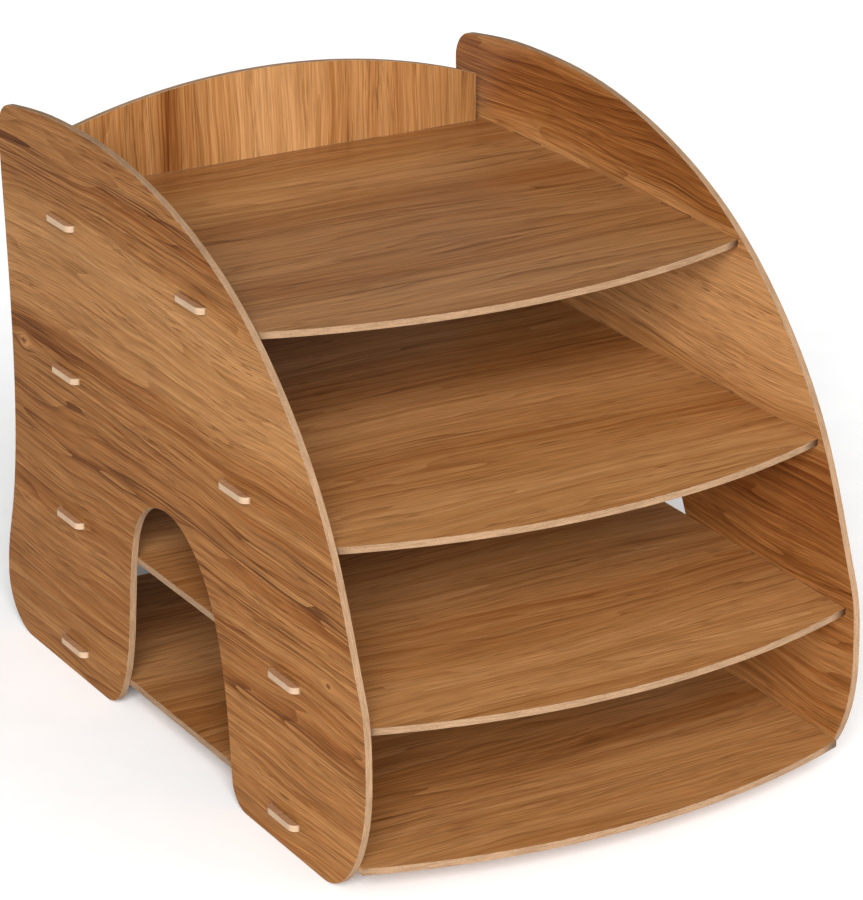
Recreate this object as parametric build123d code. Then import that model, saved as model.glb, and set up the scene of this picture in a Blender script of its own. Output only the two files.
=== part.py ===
"""Desktop file sorter: two side panels, four bowed shelves and a low back rail, slotted together.

Millimetres, +Z up. The open front faces -Y and the low rail stands at the back. Every piece is
cut from the same thin laminated board. The pieces are drawn with Y = 0 at the middle of a side
panel. The lower shelf bulges past the panels, so at the end everything is moved back by half
of that overhang, which puts the origin on the desk at the middle of the whole footprint.
"""

from build123d import *
import os

os.makedirs("parts", exist_ok=True)

# Driving dimensions
WIDTH = 250.0        # over the outer faces of the side panels
DEPTH = 351.0        # of a side panel, rear foot to the bulge of its front edge
HEIGHT = 271.4       # desk to the crown of the side panels
BOARD = 3.2          # thickness of every board

HALF = WIDTH / 2
INNER = HALF - BOARD             # inner face of a side panel
REAR = DEPTH / 2                 # rearmost Y of a side panel
FRONT = -DEPTH / 2               # foremost Y of a side panel
HEEL_RADIUS = 25.0               # lower rear corner
SHOULDER_RADIUS = 15.0           # upper rear corner
TOE_LENGTH = 37.0                # the lower front corner is a quarter ellipse
TOE_HEIGHT = 58.8

# Shelves, top to bottom
SHELF_NAMES = ("top_shelf", "upper_shelf", "lower_shelf", "bottom_shelf")
SHELF_Z = (224.5, 151.4, 80.0, 14.6)              # middle of each board
FRONT_TAB_Y = (-27.8, -65.2, -107.4, -105.4)      # middle of each front tab
SHELF_CORNER_Y = (-78.0, -143.2, -168.6, -166.3)  # front corners, beside the side panels
SHELF_BOW = 21.5                 # how far the front edge bulges past its corners
SHELF_REAR_Y = 157.0             # straight rear edge
SHELF_SIDE_GAP = 0.2             # shelf end to the face of a side panel

# Tabs through the side panels
REAR_TAB_Y = 100.0
TAB_LENGTH = 24.5
TAB_PROUD = 3.5                  # how far a tab stands past the outer face
TAB_CORNER = 3.5
SLOT_PLAY_LENGTH = 0.6
SLOT_PLAY_HEIGHT = 0.4

# Back rail on the top shelf
RAIL_Y = 138.0                   # front face
RAIL_HALF = 116.0
RAIL_CROWN = 43.5                # height above the shelf in the middle
RAIL_END = 24.0                  # height above the shelf at the ends
RAIL_CORNER = 1.5
RAIL_TAB_X = 75.0
RAIL_TAB_DROP = 5.5              # tab length below the shelf's top face


def side_outline():
    """Outer edge of a side panel as (Y, Z) curves, anticlockwise from the rear heel."""
    heel = JernArc(start=(REAR - HEEL_RADIUS, 0), tangent=(1, 0), radius=HEEL_RADIUS, arc_size=90)
    top_rear = (REAR - 8, 263.6)
    crown = (78, HEIGHT)
    front_bulge = (FRONT, TOE_HEIGHT)
    rear_edge = Spline(
        heel @ 1, (REAR - 7, 59.9), (REAR - 15.3, 141.8), (REAR - 11.5, 210), top_rear,
        tangents=((0, 1), (0.02, 1)),
    )
    top_edge = Spline(top_rear, (121, 269.9), crown, tangents=((-1, 0.14), (-1, 0)))
    front_edge = Spline(
        crown, (32.5, 268.2), (-19, 256.4), (-68.5, 234.6), (-116, 195.9), (-150, 147),
        (-169, 99.8), front_bulge, tangents=((-1, 0), (0, -1)),
    )
    toe = EllipticalCenterArc(
        (FRONT + TOE_LENGTH, TOE_HEIGHT), TOE_LENGTH, TOE_HEIGHT, start_angle=180, arc_size=90,
    )
    return [heel, rear_edge, top_edge, front_edge, toe, Line(toe @ 1, heel @ 0)]


def arch_outline():
    """Bell-shaped opening between the two feet, as (Y, Z) curves."""
    legs = Spline(
        (-57.5, 0), (-54, 33.6), (-46.5, 71.4), (-30, 101.9), (2, 117.4), (29, 105.5), (38.8, 79.8),
        (44, 35.7), (60.5, 0),
    )
    return [legs, Line(legs @ 1, legs @ 0)]


def make_side_panel(side):
    """One side panel; side is -1 for the left and +1 for the right."""
    face = make_face(side_outline()) - make_face(arch_outline())
    top_rear = face.vertices().sort_by_distance((REAR - 8, 263.6))[0]
    face = fillet(top_rear, SHOULDER_RADIUS)
    for y, radius in ((-57.5, 13), (60.5, 18)):
        face = fillet(face.vertices().sort_by_distance((y, 0))[0], radius)
    panel = extrude(face, BOARD)
    slot_length = TAB_LENGTH + SLOT_PLAY_LENGTH
    slot_height = BOARD + SLOT_PLAY_HEIGHT
    for front_y, z in zip(FRONT_TAB_Y, SHELF_Z):
        for y in (REAR_TAB_Y, front_y):
            panel -= Pos(y, z, BOARD / 2) * Box(slot_length, slot_height, 3 * BOARD)
    # The outline's (Y, Z) becomes the world's Y and Z, and its thickness the world's X.
    start = INNER if side > 0 else -HALF
    return Pos(start, 0, 0) * (Plane.YZ * panel)


def make_shelf(index):
    """One shelf with two tabs at each end."""
    end = INNER - SHELF_SIDE_GAP
    corner = SHELF_CORNER_Y[index]
    nose = corner - SHELF_BOW
    outline = [
        ThreePointArc((-end, corner), (0, nose), (end, corner)),
        Polyline((end, corner), (end, SHELF_REAR_Y), (-end, SHELF_REAR_Y), (-end, corner)),
    ]
    shelf = extrude(make_face(outline), BOARD)
    tab_reach = 2 * (HALF + TAB_PROUD)
    for y in (REAR_TAB_Y, FRONT_TAB_Y[index]):
        tabs = extrude(RectangleRounded(tab_reach, TAB_LENGTH, TAB_CORNER), BOARD)
        shelf += Pos(0, y, 0) * tabs
    if index == 0:
        slot = Box(TAB_LENGTH + SLOT_PLAY_LENGTH, BOARD + SLOT_PLAY_HEIGHT, 3 * BOARD)
        for x in (-RAIL_TAB_X, RAIL_TAB_X):
            shelf -= Pos(x, RAIL_Y + BOARD / 2, BOARD / 2) * slot
    return Pos(0, 0, SHELF_Z[index] - BOARD / 2) * shelf


def make_back_rail():
    """Low rail with an arched top, held by two tabs in the top shelf."""
    outline = [
        ThreePointArc((-RAIL_HALF, RAIL_END), (0, RAIL_CROWN), (RAIL_HALF, RAIL_END)),
        Polyline((RAIL_HALF, RAIL_END), (RAIL_HALF, 0), (-RAIL_HALF, 0), (-RAIL_HALF, RAIL_END)),
    ]
    face = make_face(outline)
    top_corners = face.vertices().sort_by(Axis.Y)[-2:]
    rail = extrude(fillet(top_corners, RAIL_CORNER), BOARD)
    for x in (-RAIL_TAB_X, RAIL_TAB_X):
        tab = extrude(Rectangle(TAB_LENGTH, 2 * RAIL_TAB_DROP), BOARD)
        rail += Pos(x, 0, 0) * tab
    # Stand the drawing up: its X stays X, its Y becomes Z.
    rail = Rot(90, 0, 0) * rail
    return Pos(0, RAIL_Y + BOARD, SHELF_Z[0] + BOARD / 2) * rail


pieces = {
    "side_panel_left": make_side_panel(-1),
    "side_panel_right": make_side_panel(1),
    "back_rail": make_back_rail(),
}
for index, name in enumerate(SHELF_NAMES):
    pieces[name] = make_shelf(index)

overhang = -(min(SHELF_CORNER_Y) - SHELF_BOW) - DEPTH / 2
for name, piece in pieces.items():
    export_step(Pos(0, overhang / 2, 0) * piece, f"parts/{name}.step")
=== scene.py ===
"""Looks of the desktop file sorter: wood-print boards with raw edges, on a pale studio floor.

Every board is rebuilt from its CAD node: coplanar triangles are joined, the arrises are eased,
and the printed faces, the eased arrises and the raw fibreboard walls get their own materials.
Lengths are in metres, except in the materials of the boards, which work in millimetres.
"""

import math

import bmesh
import bpy
from mathutils import Matrix, Vector


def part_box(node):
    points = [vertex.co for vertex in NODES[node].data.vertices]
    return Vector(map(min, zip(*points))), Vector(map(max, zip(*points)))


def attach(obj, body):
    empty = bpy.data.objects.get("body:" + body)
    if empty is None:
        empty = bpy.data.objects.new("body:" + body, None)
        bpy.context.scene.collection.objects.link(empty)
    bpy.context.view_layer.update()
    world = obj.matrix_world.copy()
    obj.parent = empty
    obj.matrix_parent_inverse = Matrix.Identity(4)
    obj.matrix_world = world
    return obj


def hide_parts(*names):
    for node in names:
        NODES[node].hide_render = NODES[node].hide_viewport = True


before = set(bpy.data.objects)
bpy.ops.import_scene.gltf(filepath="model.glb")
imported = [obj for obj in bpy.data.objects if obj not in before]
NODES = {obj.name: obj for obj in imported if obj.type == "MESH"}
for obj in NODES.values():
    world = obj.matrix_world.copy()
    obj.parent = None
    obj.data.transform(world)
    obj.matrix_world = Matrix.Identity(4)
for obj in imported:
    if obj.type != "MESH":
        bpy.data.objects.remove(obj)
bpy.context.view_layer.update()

MM = 0.001
X, Y, Z = 0, 1, 2

# Camera: the photograph's viewing angle
CAMERA_PLACE = Vector((-0.822, -1.399, 0.766))
CAMERA_AZIMUTH = math.radians(-30.60)
CAMERA_ELEVATION = math.radians(21.54)
CAMERA_ROLL = math.radians(0.12)
CAMERA_LENS = 153.7
CAMERA_SENSOR = 36.0

# Studio
WHITE = (1.0, 1.0, 1.0, 1.0)
BACKDROP = 1.0               # brightness of the studio walls in the picture
GLOW_FRONT = 0.46            # their brightness as a light, in front of the sorter
GLOW_BEHIND = 0.15           # and behind it
GLOW_TURN = 0.4              # the front ends and the back starts this far from the middle
FLOOR_HALF = 12.0            # half the width of the floor
FLOOR_DROP = 0.2 * MM        # clearance under the sorter's feet
FLOOR_TONES = ((0.95, 0.95, 0.95), (0.97, 0.97, 0.97))
# name, azimuth from the front, elevation, width of the light (all in degrees) and strength
SUNS = (
    ("key", -31.0, 25.0, 36.0, 5.3),
    ("fill", 25.0, 22.0, 50.0, 1.15),
)

# Boards
ARRIS = 0.20 * MM            # width of the eased arris
ARRIS_SEGMENTS = 3
WELD = 0.002 * MM            # corners closer than this are joined
FLAT = math.radians(0.2)     # faces closer than this to one plane are joined
SHARP = math.radians(35)
FACING = 0.999               # a printed face points along the thin axis at least this well
FACE_AREA_WEIGHT = 100       # shading normals follow the large faces
PRINT, RAW, WORN = 0, 1, 2   # material slots

# Colours of the boards (linear RGB); TONES run from the dark figure to the light one
TONES = (
    (0.00, (0.115, 0.032, 0.0070)),
    (0.30, (0.205, 0.075, 0.0190)),
    (0.60, (0.290, 0.131, 0.0440)),
    (1.00, (0.380, 0.193, 0.0760)),
)
STREAK = (0.052, 0.0135, 0.0030)
PORE = (0.085, 0.026, 0.0070)
# Painted light: paler print for the tabs where they stick out past the side panel
TAB_PAINTED_LIGHT = (0.460, 0.270, 0.165)
RAW_LIGHT = (0.310, 0.192, 0.108)
RAW_DARK = (0.185, 0.106, 0.055)
# Painted light: paler raw wall for the tab ends past the side panel
RAW_PAINTED_LIGHT = (0.480, 0.335, 0.220)
WORN_DARK = (0.200, 0.115, 0.060)
WORN_LIGHT = (0.300, 0.190, 0.115)

# Wood figure, in millimetres
SWAY = 20.0                  # how far the figure wanders across the grain
RIPPLE = 4.0                 # and its quicker waves
KNOT_STRETCH = 1.8           # length of a knot in its widths
KNOT_PUSH = -1.6             # how far the figure bends round a knot, in knot widths
RINGS_PER_MM = 0.16
RING_WANDER = 9.0            # how many rings the ring pattern drifts over
FADE_END = 170.0             # the painted shade along the grain runs between these ends
TAB_PAINTED_LIGHT_RAMP = 0.8               # length over which a tab turns paler with painted light

# How strongly each part of the figure shows
BROAD_WEIGHT = 0.60
RING_WEIGHT = 0.16
GRAIN_WEIGHT = 0.90
RING_MIDDLE = 0.45           # place in a ring that keeps its colour
LATE_WOOD = 0.16
HEART = 0.8
DARK_LINES = 0.88
PORES = 0.65
# strength of the painted light on the tabs
TAB_PAINTED_LIGHT_MIX = 0.45

# Gloss and relief
PORE_ROUGHNESS = 0.15
FIBRE_HEIGHT = 0.35
PRINT_RELIEF = 0.03 * MM
RAW_RELIEF = 0.06 * MM
WORN_RELIEF = 0.02 * MM
PAPER_RELIEF = 0.01 * MM
RAW_SHEEN = 0.25
WORN_SHEEN = 0.08
PAPER_ROUGHNESS = 0.9


# ---------------------------------------------------------------- node helpers


class Tree:
    """Short helpers for building one material."""

    def __init__(self, name):
        self.material = bpy.data.materials.new(name)
        self.material.use_nodes = True
        self.tree = self.material.node_tree
        self.tree.nodes.clear()

    def node(self, kind, **inputs):
        new = self.tree.nodes.new(kind)
        for key, value in inputs.items():
            self.feed(new.inputs[key.replace("_", " ")], value)
        return new

    def feed(self, socket, value):
        if isinstance(value, bpy.types.NodeSocket):
            self.tree.links.new(value, socket)
        elif isinstance(value, tuple) and len(value) == 3 and socket.type == "RGBA":
            socket.default_value = (*value, 1.0)
        else:
            socket.default_value = value

    def math(self, operation, *values, clamp=False):
        new = self.tree.nodes.new("ShaderNodeMath")
        new.operation = operation
        new.use_clamp = clamp
        for socket, value in zip(new.inputs, values):
            self.feed(socket, value)
        return new.outputs[0]

    def plus(self, a, b, clamp=False):
        return self.math("ADD", a, b, clamp=clamp)

    def minus(self, a, b):
        return self.math("SUBTRACT", a, b)

    def times(self, a, b):
        return self.math("MULTIPLY", a, b)

    def over(self, a, b):
        return self.math("DIVIDE", a, b)

    def larger(self, a, b):
        return self.math("MAXIMUM", a, b)

    def size(self, a):
        return self.math("ABSOLUTE", a)

    def fade(self, value, low, high, start=0.0, end=1.0):
        """Smooth step from start at low to end at high."""
        new = self.tree.nodes.new("ShaderNodeMapRange")
        new.interpolation_type = "SMOOTHSTEP"
        for index, number in enumerate((value, low, high, start, end)):
            self.feed(new.inputs[index], number)
        return new.outputs[0]

    def mix(self, factor, a, b, blend="MIX"):
        new = self.tree.nodes.new("ShaderNodeMix")
        new.data_type = "RGBA"
        new.blend_type = blend
        colours = [s for s in new.inputs if s.type == "RGBA"]
        self.feed(new.inputs[0], factor)
        self.feed(colours[0], a)
        self.feed(colours[1], b)
        return [s for s in new.outputs if s.type == "RGBA"][0]

    def ramp(self, factor, stops):
        new = self.tree.nodes.new("ShaderNodeValToRGB")
        ramp = new.color_ramp
        while len(ramp.elements) < len(stops):
            ramp.elements.new(1.0)
        for element, (place, colour) in zip(ramp.elements, stops):
            element.position = place
            element.color = (*colour, 1.0)
        self.feed(new.inputs[0], factor)
        return new.outputs[0]

    def place(self):
        """The object's own coordinates, in metres."""
        return self.node("ShaderNodeTexCoord").outputs["Object"]

    def point(self, x, y, z):
        return self.node("ShaderNodeCombineXYZ", X=x, Y=y, Z=z).outputs[0]

    def noise(self, vector, detail=2.0, roughness=0.5, scale=1.0):
        new = self.node("ShaderNodeTexNoise", Vector=vector)
        new.inputs["Scale"].default_value = scale
        new.inputs["Detail"].default_value = detail
        new.inputs["Roughness"].default_value = roughness
        return new.outputs[0]

    def finish(self, colour, roughness, height, depth, sheen):
        """Principled surface with a bump of the given depth in metres."""
        bump = self.node("ShaderNodeBump", Height=height, Distance=depth)
        normal = bump.outputs[0]
        surface = self.node(
            "ShaderNodeBsdfPrincipled", Base_Color=colour, Roughness=roughness, Normal=normal
        )
        surface.inputs["Specular IOR Level"].default_value = sheen
        output = self.node("ShaderNodeOutputMaterial")
        self.tree.links.new(surface.outputs[0], output.inputs["Surface"])
        return self.material


class Grain:
    """Millimetre coordinates along (u) and across (v) a board's grain, and through it (w)."""

    def __init__(self, tree, along, across, seed):
        self.tree = tree
        self.seed = seed
        parts = tree.node("ShaderNodeSeparateXYZ", Vector=tree.place()).outputs
        through = X + Y + Z - along - across
        self.u, self.v, self.w = (
            tree.times(parts[axis], 1 / MM) for axis in (along, across, through)
        )

    def noise(self, length, width, number, detail=2.0, roughness=0.5, across=None):
        """Noise stretched along the grain; each number gives another pattern."""
        t = self.tree
        across = self.v if across is None else across
        point = t.point(
            t.math("MULTIPLY_ADD", self.u, 1 / length, self.seed * 3.7),
            t.math("MULTIPLY_ADD", across, 1 / width, number * 11.3),
            t.math("MULTIPLY_ADD", self.w, 0.35, self.seed * 5.1 + number),
        )
        return t.noise(point, detail, roughness)

    def wave(self, *noise_settings):
        """The same noise, from -0.5 to 0.5."""
        return self.tree.minus(self.noise(*noise_settings), 0.5)


# ---------------------------------------------------------------- materials


def wandering_grain(t, g, knots):
    """Place across the grain that the figure follows, and the hearts of the knots."""
    sway = t.times(g.wave(190, 80, 1, 1.5), SWAY)
    ripple = t.times(g.wave(60, 26, 2, 1.5), RIPPLE)
    v = t.plus(t.plus(g.v, sway), ripple)
    hearts = 0.0
    for u0, v0, width in knots:
        du = t.over(t.minus(g.u, u0), width * KNOT_STRETCH)
        dv = t.over(t.minus(g.v, v0), width)
        distance = t.plus(t.times(du, du), t.times(dv, dv))
        pull = t.math("EXPONENT", t.times(distance, -1.0))
        v = t.math("MULTIPLY_ADD", t.times(dv, pull), KNOT_PUSH * width, v)
        hearts = t.larger(hearts, t.fade(distance, 0.16, 0.02))
    return v, hearts


def streak_zones(t, g, v, tone, streaks, low, high):
    """Zones of dark lines, some at chosen places, that fade in and out along the grain."""
    zone = 0.0
    for number, (place, half_width, strength) in enumerate(streaks):
        off = t.size(t.minus(v, low + place * (high - low)))
        near = t.fade(off, 3.2 * half_width, 0.6 * half_width)
        alive = t.fade(g.noise(110, 60, 20 + number, 1.0), 0.36, 0.54, 0.15, 1.0)
        zone = t.larger(zone, t.times(t.times(near, alive), strength))
    cluster = t.fade(g.noise(150, 15, 6, 1.0, 0.5, v), 0.46, 0.68)
    cluster = t.times(cluster, t.fade(tone, 0.72, 0.40, 0.25, 0.75))
    return t.larger(zone, cluster)


def wood_print(name, along, across, seed, bands, streaks, span, knots=(), light=1.0, sheen=0.01,
               painted_light_from=None, ends=(1.0, 1.0), fibres=0.26, lines=1.0):
    """Printed wood laminate with a satin lacquer.

    bands are (place, tone) pairs across the grain and streaks are (place, half width, strength),
    with places as shares of span, which is (lowest, highest) across the grain in millimetres.
    knots are (place along, place across, width). light scales the colour, and ends scales it at
    the low and high end along the grain, as painted shade; the tab print is painted paler past a
    given place along the grain, as painted light.
    fibres and lines set how strongly the fine fibres and the dark lines show.
    """
    t = Tree(name)
    g = Grain(t, along, across, seed)
    low, high = span
    v, hearts = wandering_grain(t, g, knots)

    # Growth rings flow with the figure: each darkens slowly and ends sharply.
    band = t.ramp(t.over(t.minus(v, low), high - low), [(at, (tone,) * 3) for at, tone in bands])
    broad = g.wave(380, 7.5, 3, 2.0, 0.5, v)
    grain = g.wave(210, 1.5, 4, 3.0, 0.75, v)
    drift = g.noise(260, 24, 12, 2.0, 0.5, v)
    ring = t.math("FRACT", t.math("MULTIPLY_ADD", drift, RING_WANDER, t.times(v, RINGS_PER_MM)))
    late = t.fade(ring, 0.72, 0.97)
    tone = t.plus(band, t.times(broad, BROAD_WEIGHT))
    tone = t.plus(tone, t.times(t.minus(RING_MIDDLE, ring), RING_WEIGHT))
    tone = t.plus(tone, t.times(grain, GRAIN_WEIGHT * lines), clamp=True)
    colour = t.ramp(tone, TONES)

    # Dark lines: hairs and late wood inside the zones, and the knots.
    zone = streak_zones(t, g, v, tone, streaks, low, high)
    hair = t.fade(g.noise(140, 0.70, 5, 1.0, 0.5, v), 0.55, 0.61)
    broken = t.fade(g.noise(45, 1.6, 13, 1.0, 0.5, v), 0.36, 0.50, 0.35, 1.0)
    dark = t.times(t.larger(hair, t.times(late, broken)), zone)
    dark = t.larger(dark, t.times(late, LATE_WOOD))
    dark = t.larger(dark, t.times(hearts, HEART))
    colour = t.mix(t.times(dark, DARK_LINES * lines), colour, STREAK)

    # Short open pores, in patches.
    pore = t.fade(g.noise(12.0, 0.42, 7, 0.0, 0.5, v), 0.61, 0.73)
    pore = t.times(pore, t.fade(g.noise(80, 10, 8, 1.0, 0.5, v), 0.46, 0.66))
    colour = t.mix(t.times(pore, PORES), colour, PORE)

    # Fibre: a fine shimmer of light and dark hairs.
    fibre = g.noise(26.0, 0.42, 9, 2.0, 0.7, v)
    shade = t.fade(fibre, 0.32, 0.68, (1 - fibres) * light, (1 + fibres) * light)
    # Painted shade: ends darkens the colour towards one end of the board along the grain.
    shade = t.times(shade, t.fade(g.u, -FADE_END, FADE_END, *ends))
    grey = t.node("ShaderNodeCombineColor", Red=shade, Green=shade, Blue=shade).outputs[0]
    colour = t.mix(1.0, colour, grey, "MULTIPLY")
    # Painted light: the tabs turn paler where they stick out past the side panel.
    if painted_light_from is not None:
        end = t.fade(t.size(g.u), painted_light_from, painted_light_from + TAB_PAINTED_LIGHT_RAMP)
        colour = t.mix(t.times(end, TAB_PAINTED_LIGHT_MIX), colour, TAB_PAINTED_LIGHT)

    smear = g.noise(60, 35, 10, 2.0)
    roughness = t.plus(t.fade(smear, 0.30, 0.70, 0.30, 0.40), t.times(pore, PORE_ROUGHNESS))
    height = t.minus(t.times(fibre, FIBRE_HEIGHT), pore)
    return t.finish(colour, roughness, height, PRINT_RELIEF, sheen)


def raw_board(name, along, across, seed, painted_edge_light_from=None):
    """Cut wall of the fibreboard: matt, with faint layers, and painted paler, as painted light,
    past a given place along the grain (the tab ends).
    """
    t = Tree(name)
    g = Grain(t, along, across, seed)
    layers = t.noise(t.point(t.over(g.u, 9.0), t.over(g.v, 9.0), t.over(g.w, 0.45)), 2.0, 0.6)
    crumbs = t.noise(t.place(), 3.0, 0.65, 1500.0)
    smudge = t.noise(t.place(), 2.0, 0.5, 45.0)
    tone = t.plus(t.times(layers, 0.5), t.times(crumbs, 0.35))
    tone = t.plus(tone, t.times(smudge, 0.25))
    colour = t.mix(t.fade(tone, 0.38, 0.72), RAW_DARK, RAW_LIGHT)
    # Painted light: the tab ends turn paler where they stick out past the side panel.
    if painted_edge_light_from is not None:
        end = t.fade(t.size(g.u), painted_edge_light_from, painted_edge_light_from + TAB_PAINTED_LIGHT_RAMP)
        colour = t.mix(t.times(end, t.fade(tone, 0.30, 0.75, 0.55, 0.85)), colour, RAW_PAINTED_LIGHT)
    roughness = t.fade(crumbs, 0.3, 0.7, 0.70, 0.85)
    return t.finish(colour, roughness, crumbs, RAW_RELIEF, RAW_SHEEN)


def worn_arris(name, along, across, seed):
    """Eased edge of the film, rubbed paler than the print."""
    t = Tree(name)
    g = Grain(t, along, across, seed)
    rub = t.noise(t.place(), 3.0, 0.6, 260.0)
    colour = t.mix(t.fade(rub, 0.35, 0.65), WORN_DARK, WORN_LIGHT)
    roughness = t.fade(rub, 0.3, 0.7, 0.38, 0.55)
    return t.finish(colour, roughness, g.noise(4, 0.6, 3), WORN_RELIEF, WORN_SHEEN)


# ---------------------------------------------------------------- boards


def board_mesh(node, thin):
    """The CAD node's mesh with joined faces, eased arrises and a material slot on every face."""
    bm = bmesh.new()
    bm.from_mesh(NODES[node].data)
    bmesh.ops.remove_doubles(bm, verts=bm.verts, dist=WELD)
    bmesh.ops.dissolve_limit(bm, angle_limit=FLAT, verts=bm.verts, edges=bm.edges)
    bm.normal_update()

    def printed(face):
        return abs(face.normal[thin]) > FACING

    arrises = [
        edge for edge in bm.edges
        if len(edge.link_faces) == 2 and printed(edge.link_faces[0]) != printed(edge.link_faces[1])
    ]
    for face in bm.faces:
        face.material_index = PRINT if printed(face) else RAW
    bmesh.ops.bevel(
        bm, geom=arrises, offset=ARRIS, offset_type="OFFSET", segments=ARRIS_SEGMENTS, profile=0.5,
        affect="EDGES", clamp_overlap=True, material=WORN,
    )
    for face in bm.faces:
        face.smooth = True
    bm.normal_update()
    mesh = bpy.data.meshes.new(node + "_board")
    bm.to_mesh(mesh)
    bm.free()
    return mesh


def finished_board(node, along, thin, seed, painted_light_from=None, **print_settings):
    """A board that stands for its CAD node; along and thin are its grain and thickness axes."""
    across = X + Y + Z - along - thin
    mesh = board_mesh(node, thin)
    board = bpy.data.objects.new(node + "_board", mesh)
    bpy.context.scene.collection.objects.link(board)
    mesh.set_sharp_from_angle(angle=SHARP)
    low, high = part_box(node)
    span = (low[across] / MM, high[across] / MM)
    grain = (along, across, seed)
    mesh.materials.append(
        wood_print(node + "_print", *grain, span=span, painted_light_from=painted_light_from, **print_settings)
    )
    mesh.materials.append(raw_board(node + "_raw_edge", *grain, painted_light_from))
    mesh.materials.append(worn_arris(node + "_arris", *grain))
    weighted = board.modifiers.new("Face normals", "WEIGHTED_NORMAL")
    weighted.keep_sharp = True
    weighted.weight = FACE_AREA_WEIGHT
    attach(board, "root")
    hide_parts(node)


def make_sides():
    outer_bands = (
        (0.00, 0.57), (0.10, 0.53), (0.22, 0.45), (0.33, 0.51), (0.40, 0.46), (0.45, 0.41),
        (0.50, 0.50), (0.56, 0.48), (0.60, 0.40), (0.64, 0.64), (0.70, 0.75), (0.77, 0.79),
        (0.81, 0.67), (0.85, 0.49), (0.90, 0.39), (0.95, 0.46), (1.00, 0.53),
    )
    outer_streaks = (
        (0.925, 1.2, 1.0), (0.895, 1.0, 0.8), (0.860, 1.3, 0.9), (0.612, 1.5, 1.0),
        (0.590, 0.9, 0.7), (0.515, 1.0, 0.8), (0.490, 1.1, 0.9), (0.452, 2.2, 0.9),
        (0.425, 1.1, 0.8), (0.370, 0.9, 0.5), (0.250, 0.7, 0.5), (0.110, 0.7, 0.4),
        (0.050, 0.8, 0.5),
    )
    # ends paints shade: the left panel is darker towards its rear end.
    finished_board(
        "side_panel_left", Y, X, 1.0, bands=outer_bands, streaks=outer_streaks,
        knots=((155.0, 153.0, 4.5), (-137.0, 92.0, 3.5)), light=1.03, ends=(1.04, 0.84),
    )
    inner_bands = (
        (0.00, 0.50), (0.12, 0.45), (0.25, 0.40), (0.36, 0.30), (0.42, 0.20), (0.47, 0.15),
        (0.52, 0.26), (0.57, 0.66), (0.63, 0.86), (0.70, 1.00), (0.77, 1.00), (0.81, 0.80),
        (0.85, 0.42), (0.90, 0.22), (0.95, 0.26), (1.00, 0.34),
    )
    inner_streaks = (
        (0.945, 1.4, 1.0), (0.905, 1.2, 1.0), (0.870, 1.0, 0.7), (0.640, 0.8, 0.7),
        (0.595, 0.9, 0.8), (0.500, 1.4, 0.9), (0.470, 1.6, 0.9), (0.445, 1.2, 0.9),
        (0.395, 1.2, 0.8), (0.330, 0.9, 0.6), (0.240, 0.9, 0.6), (0.130, 0.8, 0.5),
    )
    finished_board(
        "side_panel_right", Y, X, 2.0, bands=inner_bands, streaks=inner_streaks, light=1.25,
        sheen=0.04, lines=0.75,
    )


def make_shelves():
    bands = (
        (0.00, 0.55), (0.12, 0.66), (0.25, 0.40), (0.40, 0.64), (0.55, 0.34), (0.70, 0.66),
        (0.85, 0.38), (1.00, 0.50),
    )
    streaks = (
        (0.10, 0.9, 0.5), (0.22, 1.2, 0.6), (0.37, 1.0, 0.5), (0.52, 1.6, 0.7), (0.66, 0.9, 0.5),
        (0.81, 1.2, 0.6), (0.93, 0.9, 0.5),
    )
    shelves = (
        ("top_shelf", 3.0, 1.00, 0.45), ("upper_shelf", 4.0, 1.16, 0.03),
        ("lower_shelf", 5.0, 1.19, 0.03), ("bottom_shelf", 6.0, 1.14, 0.03),
    )
    # The tabs are painted paler, as painted light, from the outer face of the side panel on.
    outer_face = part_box("side_panel_right")[1][X] / MM
    for node, seed, light, sheen in shelves:
        finished_board(
            node, X, Z, seed, bands=bands, streaks=streaks, light=light, sheen=sheen,
            painted_light_from=outer_face, fibres=0.24, lines=0.75,
        )


def make_rail():
    bands = (
        (0.00, 0.70), (0.10, 0.62), (0.22, 0.50), (0.28, 0.25), (0.33, 0.55), (0.42, 0.72),
        (0.50, 0.95), (0.58, 0.90), (0.66, 0.55), (0.78, 0.70), (0.90, 0.60), (1.00, 0.65),
    )
    streaks = (
        (0.13, 0.7, 0.4), (0.235, 0.9, 0.7), (0.262, 1.2, 0.9), (0.281, 0.8, 0.8),
        (0.300, 0.7, 0.7), (0.395, 0.7, 0.4), (0.63, 0.8, 0.5), (0.70, 0.8, 0.5),
        (0.86, 0.8, 0.5),
    )
    finished_board(
        "back_rail", Z, Y, 8.0, bands=bands, streaks=streaks, light=0.89, fibres=0.22, lines=0.75,
    )


# ---------------------------------------------------------------- studio


def make_floor():
    """Seamless pale floor, larger than any view."""
    bm = bmesh.new()
    bmesh.ops.create_grid(bm, x_segments=8, y_segments=8, size=FLOOR_HALF)
    mesh = bpy.data.meshes.new("studio_floor")
    bm.to_mesh(mesh)
    bm.free()
    floor = bpy.data.objects.new("studio_floor", mesh)
    floor.location.z = -FLOOR_DROP
    bpy.context.scene.collection.objects.link(floor)
    t = Tree("studio_paper")
    mottle = t.noise(t.place(), 3.0, 0.5, 30.0)
    colour = t.mix(t.fade(mottle, 0.3, 0.7), *FLOOR_TONES)
    mesh.materials.append(t.finish(colour, PAPER_ROUGHNESS, mottle, PAPER_RELIEF, 0.0))


def direction(azimuth, elevation):
    """Unit vector towards azimuth, from the front and positive towards +X, and elevation."""
    flat = math.cos(elevation)
    return Vector((math.sin(azimuth) * flat, -math.cos(azimuth) * flat, math.sin(elevation)))


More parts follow.
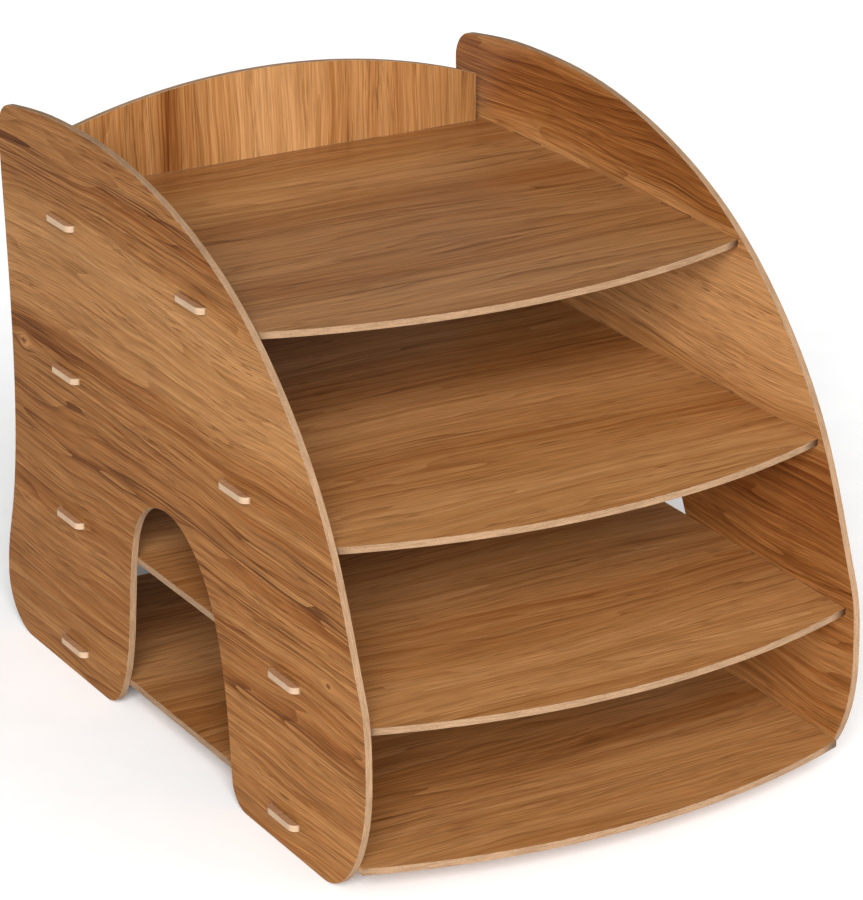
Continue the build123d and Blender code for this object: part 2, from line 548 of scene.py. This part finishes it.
def soft_sun(name, azimuth, elevation, spread, strength):
    """Very soft distant light; angles in degrees."""
    data = bpy.data.lights.new(name, "SUN")
    data.angle = math.radians(spread)
    data.energy = strength
    lamp = bpy.data.objects.new(name, data)
    source = direction(math.radians(azimuth), math.radians(elevation))
    lamp.rotation_euler = source.to_track_quat("Z", "Y").to_euler()
    lamp.location = source
    bpy.context.scene.collection.objects.link(lamp)


def make_walls():
    """White studio walls that light the sorter mostly from the front."""
    world = bpy.data.worlds.new("studio")
    bpy.context.scene.world = world
    world.use_nodes = True
    nodes, links = world.node_tree.nodes, world.node_tree.links
    walls = nodes["Background"]
    walls.inputs["Color"].default_value = WHITE
    parts = nodes.new("ShaderNodeSeparateXYZ")
    links.new(nodes.new("ShaderNodeTexCoord").outputs["Generated"], parts.inputs[0])
    glow = nodes.new("ShaderNodeMapRange")
    glow.interpolation_type = "SMOOTHSTEP"
    links.new(parts.outputs["Y"], glow.inputs["Value"])
    glow.inputs["From Min"].default_value = -GLOW_TURN
    glow.inputs["From Max"].default_value = GLOW_TURN
    glow.inputs["To Min"].default_value = GLOW_FRONT
    glow.inputs["To Max"].default_value = GLOW_BEHIND
    pick = nodes.new("ShaderNodeMix")
    links.new(nodes.new("ShaderNodeLightPath").outputs["Is Camera Ray"], pick.inputs[0])
    links.new(glow.outputs[0], pick.inputs[2])
    pick.inputs[3].default_value = BACKDROP
    links.new(pick.outputs[0], walls.inputs["Strength"])


def make_lights():
    """A large key from the front left, a weak fill from the right and the studio walls."""
    make_walls()
    for sun in SUNS:
        soft_sun(*sun)
    view = bpy.context.scene.view_settings
    view.view_transform = "Standard"
    view.look = "None"


def make_camera():
    data = bpy.data.cameras.new("camera")
    data.lens = CAMERA_LENS
    data.sensor_width = CAMERA_SENSOR
    camera = bpy.data.objects.new("camera", data)
    back = direction(CAMERA_AZIMUTH, CAMERA_ELEVATION)
    level = Vector((math.cos(CAMERA_AZIMUTH), math.sin(CAMERA_AZIMUTH), 0.0))
    upright = back.cross(level)
    right = math.cos(CAMERA_ROLL) * level + math.sin(CAMERA_ROLL) * upright
    up = math.cos(CAMERA_ROLL) * upright - math.sin(CAMERA_ROLL) * level
    turn = Matrix((right, up, back)).transposed()
    camera.matrix_world = Matrix.Translation(CAMERA_PLACE) @ turn.to_4x4()
    bpy.context.scene.collection.objects.link(camera)
    bpy.context.scene.camera = camera


make_sides()
make_shelves()
make_rail()
make_floor()
make_lights()
make_camera()
